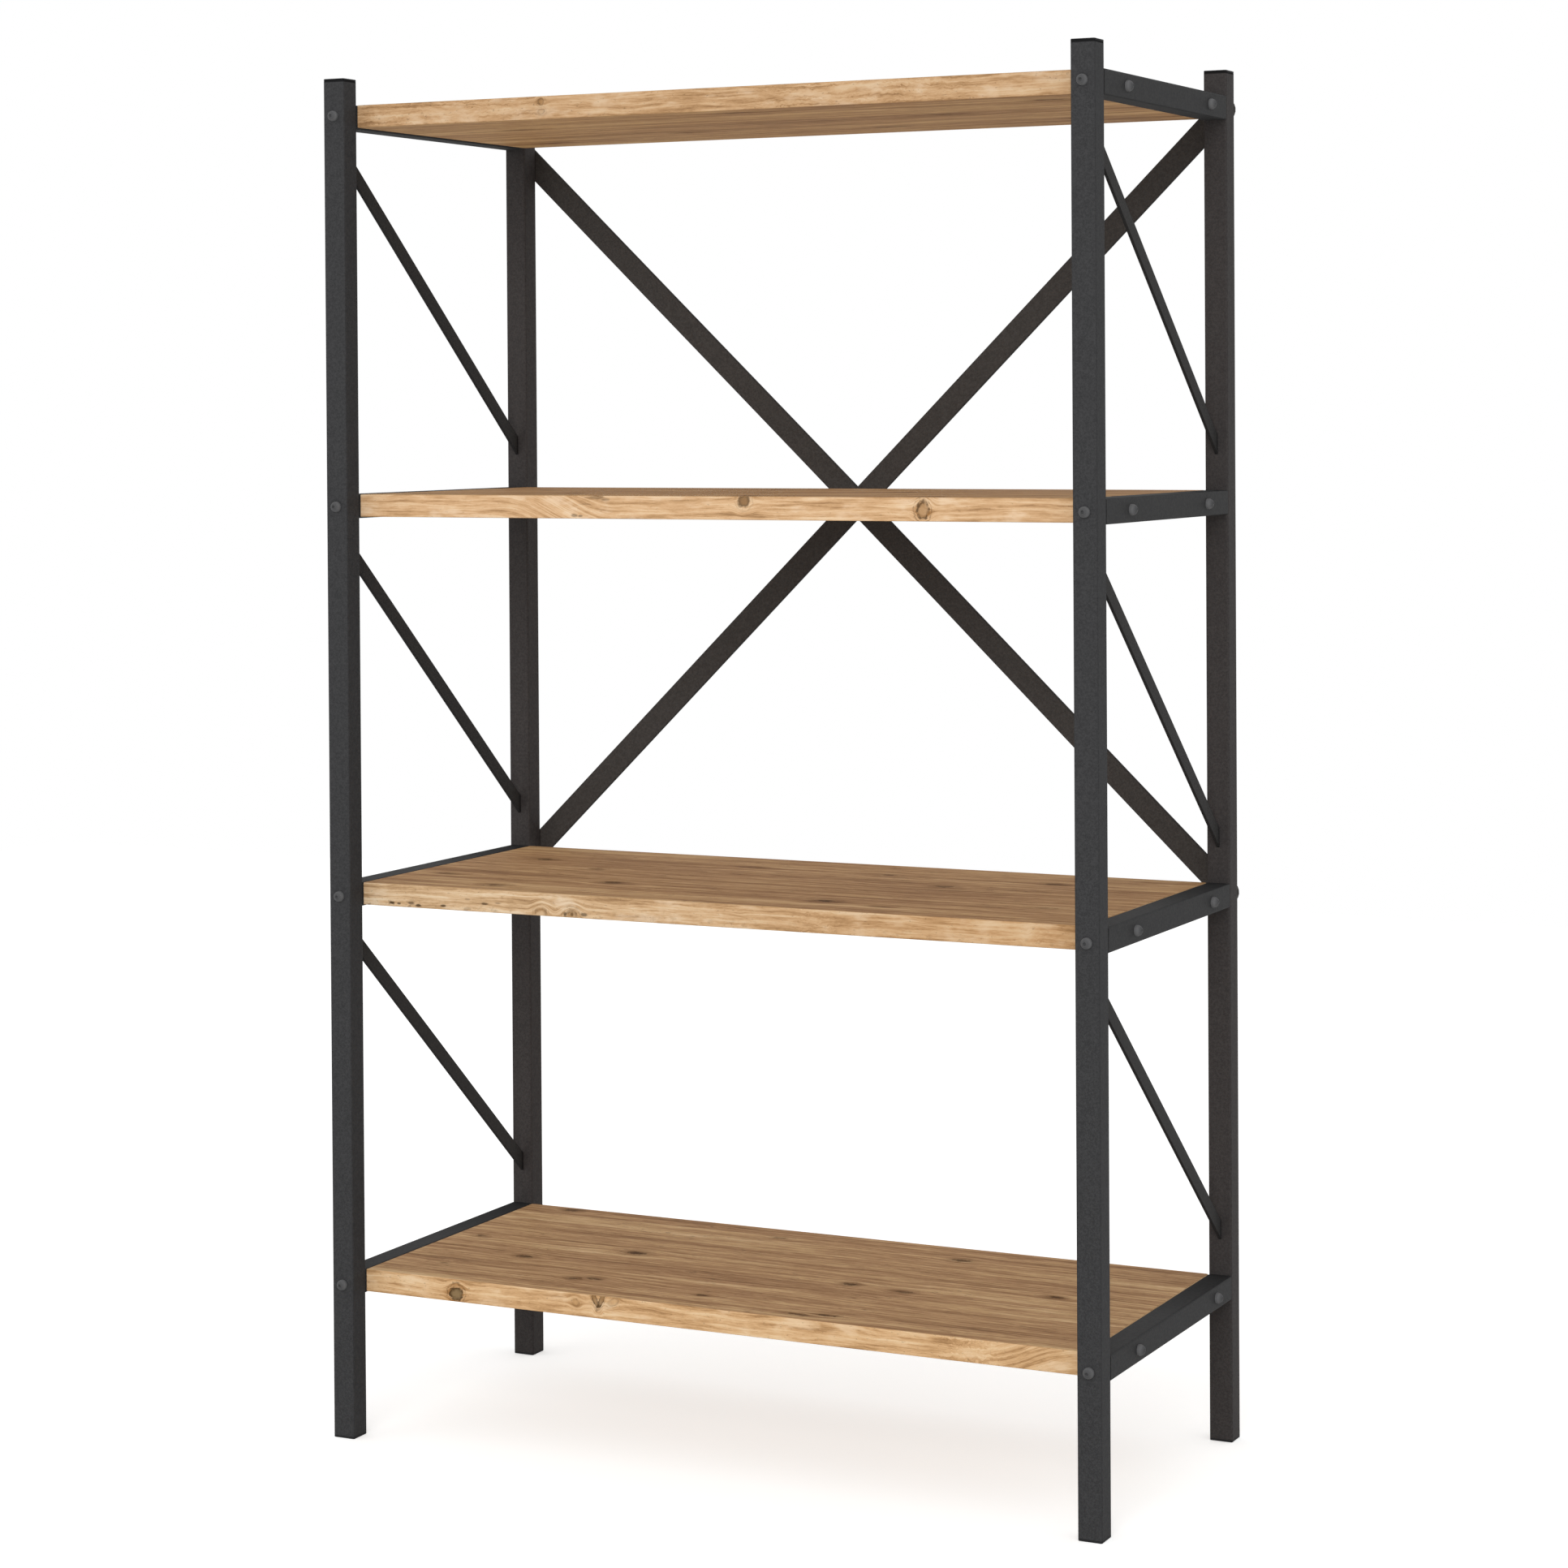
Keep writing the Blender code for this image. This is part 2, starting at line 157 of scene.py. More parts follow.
def point(wire, x, y, z):
    return wire.node("ShaderNodeCombineXYZ", {}, {0: x, 1: y, 2: z})


def size(wire, value):
    return wire.node("ShaderNodeMath", {"operation": "ABSOLUTE"}, {0: value})


def largest(wire, first, second):
    return wire.node("ShaderNodeMath", {"operation": "MAXIMUM"}, {0: first, 1: second})


def cloud(wire, vector, scale=1.0, detail=3.0, roughness=0.55, twist=0.0):
    # soft noise, about 0.2 to 0.8
    sockets = {"Vector": vector, "Scale": scale, "Detail": detail, "Roughness": roughness}
    sockets["Distortion"] = twist
    return wire.node("ShaderNodeTexNoise", {"noise_dimensions": "3D"}, sockets)


def fade(wire, value, start, end, low=0.0, high=1.0):
    # goes smoothly from low at start to high at end
    sockets = {"Value": value, "From Min": start, "From Max": end, "To Min": low, "To Max": high}
    return wire.node("ShaderNodeMapRange", {"interpolation_type": "SMOOTHSTEP", "clamp": True}, sockets)


def blend(wire, share, first, second):
    # the node's sockets 6 and 7 and its output 2 are the ones for colours
    settings = {"data_type": "RGBA", "blend_type": "MIX"}
    return wire.node("ShaderNodeMix", settings, {0: share, 6: first, 7: second}, 2)


def tint(wire, colour, tone):
    return wire.node("ShaderNodeVectorMath", {"operation": "MULTIPLY"}, {0: colour, 1: tone})


def finishLook(wire, surface, height, depth, strength=1.0):
    # surface holds the shader's sockets; height in shares of depth raises the bump
    bump = {"Strength": strength, "Distance": depth, "Height": height}
    surface["Normal"] = wire.node("ShaderNodeBump", {}, bump)
    shader = wire.node("ShaderNodeBsdfPrincipled", {}, surface)
    wire.node("ShaderNodeOutputMaterial", {}, {0: shader})


# a span is where a fade starts and ends, and its other two numbers, if it has them, are its values there
powder = {
    # the five pairs of tones are one coat, made lighter or darker part by part as painted light and
    # shade, with a warm painted reflection of the wood on the back posts and cross bars
    "post_front": (paint("#323233"), paint("#3f3f40")),
    "post_back": (paint("#353232"), paint("#444140")),
    "rail": (paint("#303031"), paint("#3d3d3d")),
    "side_bar": (paint("#2e2d2d"), paint("#3a3938")),
    "cross_bar": (paint("#393634"), paint("#484543")),
    # the edge colour darkens the thin-coated corners and also paints the shade that the masks below add
    "edge": paint("#1b1b1c"),
    "edgeAndShadeStrength": 0.4,
    "tubeEdgeSpan": (0.2 * mm, 1.3 * mm, 1.0, 0.0),
    "barEdgeSpan": (0.1 * mm, 1.3 * mm, 1.0, 0.0),
    "rubbedSpan": (15 * mm, 20 * mm, 1.0, 0.1),      # towards the tube's most rubbed corner
    "capShadeSpan": (0.9 * mm, 1.7 * mm, 2.2, 0.0),       # painted shade at the top ends of the posts, just under the caps
    "barEndShadeSpan": (0.5 * mm, 4.5 * mm, 1.8, 0.0),      # painted contact shadow at the lower ends of the side bars, against the back posts
    "railTopShadeSpan": (220 * mm, 0.0, 0.2, 1.4),           # painted shade along the top of a rail, darkest towards its back end
    "topSpan": (0.6, 0.9),                           # of the normal's rise, for what faces up
    "underShadeSpan": (-0.6, -0.9, 0.0, 0.8),             # painted shade on what faces down, in the same way
    "angleRounds": 12,
    "grainSize": 0.9 * mm,
    "grainKind": (2.0, 0.6),                         # detail and roughness of the noise
    "pitSize": 0.9 / 0.35 * mm,
    "pitKind": (2.0, 0.5),
    "blotchSize": 7 * mm,
    "blotchKind": (3.0, 0.6),
    "toneShares": (0.5, 0.35, 0.15),                 # of grain, pits and blotches
    "toneSpan": (0.36, 0.64),
    "roughness": 0.6,
    "roughSwing": 0.25,
    "roughEdgesAndShade": 0.2,
    "specular": 0.042,
    "reliefShares": (0.5, 0.5),                      # of grain and pits
    "depth": 0.08 * mm,
    "bump": 0.6,
}


def tubeEdgesAndShade(wire, spot, name):
    # 1 at the long corners of a square tube, where the coat is thinnest, but for the most rubbed one;
    # also 1 on painted shade under the caps of the posts and on the tops and undersides of the rails
    low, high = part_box(name)
    middle = [(low[k] + high[k]) / 2 for k in range(3)]
    if name.startswith("post"):
        rubbed = {0: 1, 1: -1}
    else:
        rubbed = {0: math.copysign(1, middle[0]), 2: 1}
    insets = []
    lean = 0.0
    for k, way in rubbed.items():
        off = spot[k] - middle[k]
        insets.append((high[k] - low[k]) / 2 - size(wire, off))
        lean = off * way + lean
    edge = fade(wire, largest(wire, insets[0], insets[1]), *powder["tubeEdgeSpan"])
    edge = edge * fade(wire, lean, *powder["rubbedSpan"])
    if name.startswith("post"):
        # painted shade at the top end of a post, under its cap
        return largest(wire, edge, fade(wire, high[2] - spot[2], *powder["capShadeSpan"]))
    # painted shade: the tops of the rails are darkened, most of all near the back post, and so are their
    # undersides
    slope = normalParts(wire)[2]
    top = fade(wire, high[1] - spot[1], *powder["railTopShadeSpan"])
    top = top * fade(wire, slope, *powder["topSpan"])
    underShade = fade(wire, slope, *powder["underShadeSpan"])
    return largest(wire, edge, largest(wire, top, underShade))


bars = {
    "cross_bar_rising": {"width": 25 * mm, "run": 0, "roundEnds": True, "falls": False},
    "cross_bar_falling": {"width": 25 * mm, "run": 0, "roundEnds": True, "falls": True},
    "side_bar": {"width": 15 * mm, "run": 1, "roundEnds": False, "falls": True},
}


def barEdgesAndShade(wire, spot, name, bar):
    # 1 at the long edges of a flat bar that runs from corner to corner of its box, and for a side bar
    # also on a painted contact shadow at its lower end
    low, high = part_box(name)
    run = bar["run"]
    far, tall = high[run] - low[run], high[2] - low[2]
    middle = [(low[k] + high[k]) / 2 for k in range(3)]
    if bar["roundEnds"]:
        angle = math.atan2(tall - bar["width"], far - bar["width"])
    else:
        angle = math.atan2(tall, far)
        for _ in range(powder["angleRounds"]):
            angle = math.atan2(tall - bar["width"] / math.cos(angle), far)
    rise = -1 if bar["falls"] else 1
    across = (spot[2] - middle[2]) * math.cos(angle)
    across = across - (spot[run] - middle[run]) * (rise * math.sin(angle))
    edge = fade(wire, bar["width"] / 2 - size(wire, across), *powder["barEdgeSpan"])
    if bar["roundEnds"]:
        return edge
    # painted contact shadow at the side bar's lower end, where it meets the back post
    return largest(wire, edge, fade(wire, high[run] - spot[run], *powder["barEndShadeSpan"]))


def makePowderCoat(name, edge):
    material, wire = newLook("coat_" + name)
    low, high = next(powder[kind] for kind in powder if name.startswith(kind))
    spot = place(wire)
    grain = cloud(wire, spot, 1 / powder["grainSize"], *powder["grainKind"])
    pits = cloud(wire, spot, 1 / powder["pitSize"], *powder["pitKind"])
    blotch = cloud(wire, spot, 1 / powder["blotchSize"], *powder["blotchKind"])
    grainShare, pitShare, blotchShare = powder["toneShares"]
    tone = grain * grainShare + pits * pitShare + blotch * blotchShare
    coat = blend(wire, fade(wire, tone, *powder["toneSpan"]), low, high)
    # thin-coated corners and painted shade, both darkened with the edge colour and made rougher
    edgesAndShade = edge(wire, parts(wire, spot))
    roughness = powder["roughness"] + (grain - 0.5) * powder["roughSwing"] + edgesAndShade * powder["roughEdgesAndShade"]
    surface = {
        "Base Color": blend(wire, edgesAndShade * powder["edgeAndShadeStrength"], coat, powder["edge"]),
        "Roughness": roughness,
        "Specular IOR Level": powder["specular"],
    }
    grainShare, pitShare = powder["reliefShares"]
    finishLook(wire, surface, grain * grainShare + pits * pitShare, powder["depth"], powder["bump"])
    return material


def makeCoatFor(name):
    for start, bar in bars.items():
        if name.startswith(start):
            return makePowderCoat(name, lambda wire, spot: barEdgesAndShade(wire, spot, name, bar))
    return makePowderCoat(name, lambda wire, spot: tubeEdgesAndShade(wire, spot, name))


boltLook = {
    # painted reflection: the middle is darker and the rim paler, as on a glossy dome in a white room
    "middle": paint("#49494a"),
    "rim": paint("#646465"),
    "rimSheenSpan": (0.25, 0.95),    # of how far the surface faces along the bolt
    "grainSize": 0.9 * mm,
    "grainKind": (3.0, 0.6),
    "speckle": 0.3,
    "roughness": 0.6,
    "roughSwing": 0.3,
    "specular": 0.1,
    "depth": 0.03 * mm,
}


def makeBoltGrey(name, axis):
    # the heads look along the axis, and a painted reflection makes them paler towards the rim and darker
    # in the middle
    material, wire = newLook(name)
    grain = cloud(wire, place(wire), 1 / boltLook["grainSize"], *boltLook["grainKind"])
    facing = size(wire, normalParts(wire)[axis]) + (grain - 0.5) * boltLook["speckle"]
    share = fade(wire, facing, *boltLook["rimSheenSpan"])
    surface = {
        "Base Color": blend(wire, share, boltLook["rim"], boltLook["middle"]),
        "Roughness": boltLook["roughness"] + (grain - 0.5) * boltLook["roughSwing"],
        "Specular IOR Level": boltLook["specular"],
    }
    finishLook(wire, surface, grain, boltLook["depth"])
    return material


capLook = {
    "top": (paint("#050506"), paint("#0e0e0f")),
    "foot": (paint("#1d1d1e"), paint("#2b2b2c")),
    "toneSpan": (0.35, 0.65),
    "grainSize": 0.7 * mm,
    "grainKind": (3.0, 0.65),
    "roughness": 0.6,
    "roughSwing": 0.2,
    "specular": 0.12,
    "depth": 0.05 * mm,
}


def makeCapBlack(end):
    material, wire = newLook("blackCapPlastic_" + end)
    low, high = capLook[end]
    grain = cloud(wire, place(wire), 1 / capLook["grainSize"], *capLook["grainKind"])
    surface = {
        "Base Color": blend(wire, fade(wire, grain, *capLook["toneSpan"]), low, high),
        "Roughness": capLook["roughness"] + (grain - 0.5) * capLook["roughSwing"],
        "Specular IOR Level": capLook["specular"],
    }
    finishLook(wire, surface, grain, capLook["depth"])
    return material


# x, y and z are along the board, across it and above its middle, in mm:
# eyes on the faces are (x, y, half length, half width, strength), knots on the edges (x, z, half length,
# half height, tilt, fill, its strength, the rim's strength), marks (x, z, half length, half height,
# strength), slants (start, end, fall) and curls (start, end, strength)
boards = {
    "shelf_board_1": {
        "seed": 1.7,
        "faceTone": (1.09, 1.14, 1.26),
        "tone": ((0.93, 0.945, 0.965), (0.93, 0.945, 0.965)),
        "busy": 0.5,
        "eyes": (
            (-340, 159, 13, 8, 0.81), (-367, 8, 10, 5, 0.54), (-276, -57, 13, 7, 0.88),
            (-173, 6, 14, 8, 1), (-180, -121, 10, 6, 0.74), (-160, -114, 12, 6, 0.74),
            (-26, -130, 9, 4, 0.88), (92, -25, 11, 6, 1), (156, 119, 14, 7, 0.81),
            (157, -33, 14, 6, 0.68), (304, 11, 12, 5, 0.94), (99, -160, 20, 4, 0.81),
            (125, -152, 16, 4, 1), (-338, -118, 6, 3, 0.54), (-67, 133, 12, 5, 0.47),
        ),
        "knots": (
            (-294.6, -3.5, 7.4, 7.6, 0, "#86704f", 0.92, 0.9),
            (-130, 7, 2.6, 8, -24, "#86643e", 0.7, 0.9), (-123, 7, 2.6, 8, 24, "#86643e", 0.7, 0.9),
            (-152.8, 2.5, 5, 4, 30, "#b78c5a", 0.25, 0.2), (-109, 7, 7, 4, -30, "#b0834f", 0.3, 0.25),
        ),
        "marks": (),
        "slants": ((295, 400, -30),),
        "curls": ((258, 312, 6),),
        "bark": 0.0,
    },
    "shelf_board_2": {
        "seed": 4.1,
        "faceTone": (1.0, 1.0, 1.04),
        "tone": ((0.89, 0.985, 1.14), (0.79, 0.77, 0.76)),
        "busy": 0.4,
        "eyes": (
            (-320, 70, 15, 8, 0.81), (-356, -78, 14, 7, 0.47), (-260, -141, 15, 8, 0.68),
            (-156, -75, 15, 8, 0.88), (-225, 17, 14, 6, 0.34), (-76, 97, 14, 6, 0.27),
            (109, -115, 15, 8, 1), (83, 95, 14, 6, 0.54), (175, 32, 15, 8, 0.74), (272, 94, 15, 7, 0.61),
            (333, -76, 16, 6, 0.41), (177, -131, 14, 5, 0.34),
        ),
        "knots": (
            (-190, -12, 7, 8, 0, "#c0915c", 0.2, 0.35), (-155, -13, 8, 9, 0, "#a67c4c", 0.35, 0.45),
        ),
        "marks": (
            (-369, -7.8, 4, 1.6, 0.9), (-361, -8.2, 3, 1.4, 0.8), (-346, -7, 5, 1.8, 0.7),
            (-337, -9, 4.5, 1.8, 0.9), (-307, -7.8, 4, 1.6, 0.85), (-278, 0.5, 4, 1.2, 0.4),
            (-257, -3, 4.5, 1.5, 0.75), (-241, -1.5, 4, 1, 0.45), (-162, -8, 2.4, 2.4, 0.7),
            (-154, -8.5, 2.4, 2.4, 0.8), (-140, -7.7, 5, 2, 0.7),
        ),
        "slants": (),
        "curls": ((100, 145, 3), (340, 360, 4)),
        "bark": 0.5,
    },
    "shelf_board_3": {
        "seed": 7.9,
        "faceTone": (1.0, 1.0, 1.0),
        "tone": ((0.925, 0.95, 1.03), (0.92, 0.945, 1.02)),
        "busy": 0.25,
        "eyes": (
            (-300, 40, 14, 8, 0.68), (-190, -90, 15, 9, 0.81), (-60, 120, 14, 8, 0.68),
            (46, -150, 16, 10, 0.94), (140, 20, 15, 9, 0.68), (243, -140, 14, 8, 0.81),
            (330, 90, 14, 8, 0.54), (-355, -120, 13, 8, 0.54),
        ),
        "knots": (
            (45.5, 7.2, 6.8, 7, 0, "#8a6640", 0.9, 0.35), (239.5, -0.8, 6.5, 9, 0, "#b8946a", 0.5, 0.8),
        ),
        "marks": (
            (-147.5, -8.5, 5, 2, 0.55), (-141, -9, 3, 1.2, 0.6), (-122, 10, 12, 2.5, 0.5),
            (-112, 8, 6, 2, 0.45), (-135, 3, 8, 1, 0.3),
        ),
        "slants": ((-235, -100, 44),),
        "curls": (),
        "bark": 0.0,
    },
    "shelf_board_4": {
        "seed": 11.3,
        "faceTone": (1.08, 1.07, 1.03),
        "tone": ((0.765, 0.77, 0.81), (0.775, 0.785, 0.83)),
        "busy": 0.6,
        "eyes": (
            (-280, -60, 24, 6, 0.47), (-150, 60, 22, 6, 0.47), (16, -144, 20, 5, 0.81),
            (80, 100, 24, 6, 0.54), (190, -20, 26, 7, 0.47), (300, 90, 22, 6, 0.54),
            (350, -130, 22, 6, 0.54), (-340, 120, 18, 6, 0.41),
        ),
        "knots": (
            (-183, 6, 4, 4, 0, "#a67c4c", 0.45, 0.3), (-183, -4, 4, 3, 0, "#a67c4c", 0.35, 0.25),
        ),
        "marks": (),
        "slants": (),
        "curls": ((-400, -200, 2), (60, 290, 2.5)),
        "bark": 0.2,
    },
}

wood = {
    "faceSpan": (0.55, 0.8),       # of the normal's rise, from the edges' wood to the faces', whose darker colour is partly painted shade
    "roughness": 0.7,
    "roughSwing": 0.2,
    "specular": 0.05,
    "depth": 0.25 * mm,
    "bump": 0.5,
    "unboundedHalf": 1000.0,       # half size of a patch along an axis on which it has no end
}


def gridOf(wire, vector, centre, halves, tilt=0.0):
    # the vector counted from centre in shares of the half sizes; an axis of None is left out
    sockets = {
        "Vector": vector,
        "Location": centre,
        "Rotation": (0.0, tilt, 0.0),
        "Scale": [wood["unboundedHalf"] if h is None else h for h in halves],
    }
    return wire.node("ShaderNodeMapping", {"vector_type": "TEXTURE"}, sockets)


def reach(wire, vector):
    return wire.node("ShaderNodeVectorMath", {"operation": "LENGTH"}, {0: vector}, "Value")


def grainLayer(wire, layer, along, across, through, seed):
    # noise drawn out along the board: the layer holds the scales along, across and through the board,
    # the share of the seed, and the noise's detail, roughness and twist
    alongScale, acrossScale, throughScale, seedShare, *kind = layer
    depth = through * throughScale + seed * seedShare
    return cloud(wire, point(wire, along * alongScale, across * acrossScale, depth), 1.0, *kind)


def mixLayers(layers, shares):
    mixed = 0.0
    for name, share in shares.items():
        mixed = layers[name] * share + mixed
    return mixed


faceWood = {
    # the faces' stops are darker than the edges': partly the face grain's browner tone, partly painted
    # shade on the tops and undersides
    "stops": (
        (0.0, paint("#715236")), (0.28, paint("#96704b")), (0.5, paint("#a9825a")),
        (0.75, paint("#bf9a6b")), (1.0, paint("#d3b186")),
    ),
    "knot": paint("#6d4b2b"),
    "dark": paint("#4b341f"),
    "lean": 0.5,                   # of the grain, from the underside to the top
    "staveWidth": 58 * mm,
    "staveStart": 0.5,             # in front of the middle
    "staveShift": 3.0,
    "staveTone": 0.03,
    "wave": 26 * mm,
    "waveLayer": (3, 9, 8, 1, 3.0),
    "ragged": 1.7,
    "raggedKind": (150.0, 3.0, 0.7),
    "layers": {
        "wide": (3.6, 80, 20, 1, 3.0, 0.6),
        "mid": (27, 290, 30, 1, 3.0, 0.6),
        "thin": (110, 1000, 30, 1, 3.0, 0.6),
        "broad": (1.8, 26, 0, 1, 3.0, 0.55),
        "rings": (1.5, 420, 0, 5, 1.0, 0.5),
        "streaks": (15, 230, 0, 2, 4.0, 0.6),
        "dash": (90, 480, 0, 4, 2.0),
    },
    "toneShares": {"wide": 0.28, "mid": 0.23, "thin": 0.14, "broad": 0.18, "rings": 0.15},
    "toneStart": 0.015,
    "toneSpan": (0.345, 0.655),
    "streakSpan": (0.54, 0.7),
    "streakStrength": 0.3,
    "dashSpan": (0.6, 0.7),        # short dark dashes, in loose groups
    "dashStrength": 0.6,
    "groupLayer": (13, 24, 0, 3, 2.0),
    "groupSpan": (0.5, 0.62),
    "reliefShares": {"mid": 0.4, "thin": 0.3, "wide": 0.3},
    "streakRelief": 0.3,
    "coreRelief": 0.3,
}

# in shares of an eye's half sizes
eyeLook = {
    "pullSpan": (0.0, 3.6, 0.85, 0.0),      # how the grain runs round it
    "coreSpan": (0.4, 0.9),
    "coreGrain": (0.35, 0.6, 1.0, 0.8),
    "haloSize": (1.7, 2.1),
    "haloRagged": 0.3,
    "haloSpan": (0.3, 1.15),
    "haloStrength": 0.3,
    "haloShare": 0.5,                       # of the eye's strength
    "haloGrain": (0.36, 0.62, 0.9, 0.45),
}


def makeFaceWood(wire, board, x, y, z, middle):
    seed = board["seed"]
    along = x + (z - middle) * faceWood["lean"]
    fromFront = (y + faceWood["staveStart"]) / faceWood["staveWidth"]
    stave = wire.node("ShaderNodeMath", {"operation": "FLOOR"}, {0: fromFront})
    chance = wire.node("ShaderNodeTexWhiteNoise", {"noise_dimensions": "1D"}, {"W": stave + seed})
    spot = point(wire, along, y, z)
    across = y + (grainLayer(wire, faceWood["waveLayer"], along, y, z, seed) - 0.5) * faceWood["wave"]
    ragged = (cloud(wire, spot, *faceWood["raggedKind"]) - 0.5) * faceWood["ragged"]
    cores = 0.0
    halos = 0.0
    for kx, ky, a, b, strength in board["eyes"]:
        centre = (kx * mm, ky * mm, 0)
        far = reach(wire, gridOf(wire, spot, centre, (a * mm, b * mm, None)))
        across = across - (y - ky * mm) * fade(wire, far, *eyeLook["pullSpan"])
        cores = largest(wire, cores, fade(wire, far + ragged, *eyeLook["coreSpan"], strength, 0.0))
        longer, wider = eyeLook["haloSize"]
        ring = reach(wire, gridOf(wire, spot, centre, (a * longer * mm, b * wider * mm, None)))
        ring = ring + ragged * eyeLook["haloRagged"]
        strength = eyeLook["haloStrength"] + eyeLook["haloShare"] * strength
        halos = largest(wire, halos, fade(wire, ring, *eyeLook["haloSpan"], strength, 0.0))
    shifted = along + chance * faceWood["staveShift"]
    layers = {}
    for name, layer in faceWood["layers"].items():
        layers[name] = grainLayer(wire, layer, shifted, across, z, seed)
    mixed = mixLayers(layers, faceWood["toneShares"]) + faceWood["toneStart"]
    mixed = mixed + (chance - 0.5) * faceWood["staveTone"]
    share = fade(wire, mixed, *faceWood["toneSpan"])
    colour = wire.node("ShaderNodeValToRGB", {"stops": faceWood["stops"]}, {0: share})
    dark = fade(wire, layers["streaks"], *faceWood["streakSpan"])
    colour = blend(wire, dark * faceWood["streakStrength"], colour, faceWood["knot"])
    group = grainLayer(wire, faceWood["groupLayer"], shifted, y, z, seed)
    dash = fade(wire, layers["dash"], *faceWood["dashSpan"]) * fade(wire, group, *faceWood["groupSpan"])
    colour = blend(wire, dash * faceWood["dashStrength"], colour, faceWood["dark"])
    halos = halos * fade(wire, layers["mid"], *eyeLook["haloGrain"])
    colour = blend(wire, halos, colour, faceWood["knot"])
    darkened = cores * fade(wire, layers["thin"], *eyeLook["coreGrain"])
    colour = blend(wire, darkened, colour, faceWood["dark"])
    relief = mixLayers(layers, faceWood["reliefShares"])
    relief = relief - dark * faceWood["streakRelief"] - cores * faceWood["coreRelief"]
    return tint(wire, colour, board["faceTone"]), relief


# pairs of shares are for a calm board, and what a busy one adds
edgeWood = {
    "stops": (
        (0.0, paint("#a17a52")), (0.28, paint("#c49a6c")), (0.5, paint("#d4aa7c")),
        (0.75, paint("#dfb98c")), (1.0, paint("#e7c79d")),
    ),
    "dark": paint("#4a3621"),
    "ring": paint("#a9753f"),
    "pale": paint("#eccfab"),
    "rearSpan": (-1 * mm, 1 * mm),          # from the front edge's pattern to the rear's, which is turned
    "rearShift": 60 * mm,
    "wave": (7 * mm, 8 * mm),
    "waveLayer": (9, 30, 5, 1, 3.0),
    "ragged": (0.9, 0.35),
    "raggedKinds": ((130.0, 2.0), (480.0, 2.0)),
    "patchKind": (170.0, 2.0),              # the rims are broken by patches
    "patchDepth": 0.3,
    "patchSpan": (0.4, 0.55, 0.25, 1.0),
    "curlLayer": (110, 160, 5, 1, 2.0, 0.5, 1.2),
    "curlHeight": 2.2 * mm,
    "curlEnd": 15,
    "layers": {
        "wide": (11, 260, 5, 1, 4.0, 0.6),
        "mid": (40, 800, 5, 1, 3.0, 0.6),
        "thin": (220, 1500, 5, 1, 3.0, 0.65),
    },
    "softLayer": (22, 60, 5, 1, 3.0, 0.6),
    "toneShares": {
        "wide": (0.52, -0.12),
        "mid": (0.2, 0.0),
        "thin": (0.09, 0.09),
        "soft": (0.19, 0.03),
    },
    "toneSpan": (0.36, 0.64),
    "paleSpan": (0.52, 0.7),
    "paleStrength": 0.45,
    "lineShares": {"wide": 0.6, "mid": 0.4},
    "lineSpan": (0.4, 0.56, 0.8, 0.0),
    "barkLayer": (120, 170, 5, 1, 3.0, 0.6),
    "barkSpan": (0.56, 0.66),
    "barkRise": (-11 * mm, 1 * mm, 1.0, 0.0),
    "barkRun": (-380 * mm, -200 * mm, 1.0, 0.4),
    "markRagged": 0.8,
    "markSpan": (0.45, 1.15),
    "speckLayer": (260, 420, 5, 1, 2.0),
    "speckSpan": (0.64, 0.74),
    "speckStrength": (0.15, 0.35),
    "toneRun": (-400 * mm, 400 * mm),       # from the left end's tone to the right end's
    "reliefShares": {"thin": 0.4, "mid": 0.3, "wide": 0.3},
    "rimRelief": 0.4,
}

# in shares of a knot's half sizes
knotLook = {
    "pullSpan": (0.2, 2.7, 0.95, 0.0),      # how the grain runs round it
    "ripeSpan": (0.3, 0.95, 0.0, 0.75),
    "fillSpan": (0.75, 1.1),
    "rimAt": 0.95,
    "rimSpan": (0.04, 0.3),
    "outerAt": 1.45,
    "outerSpan": (0.02, 0.2),
    "outerStrength": 0.55,
    "ringSpan": (0.8, 2.6),
}


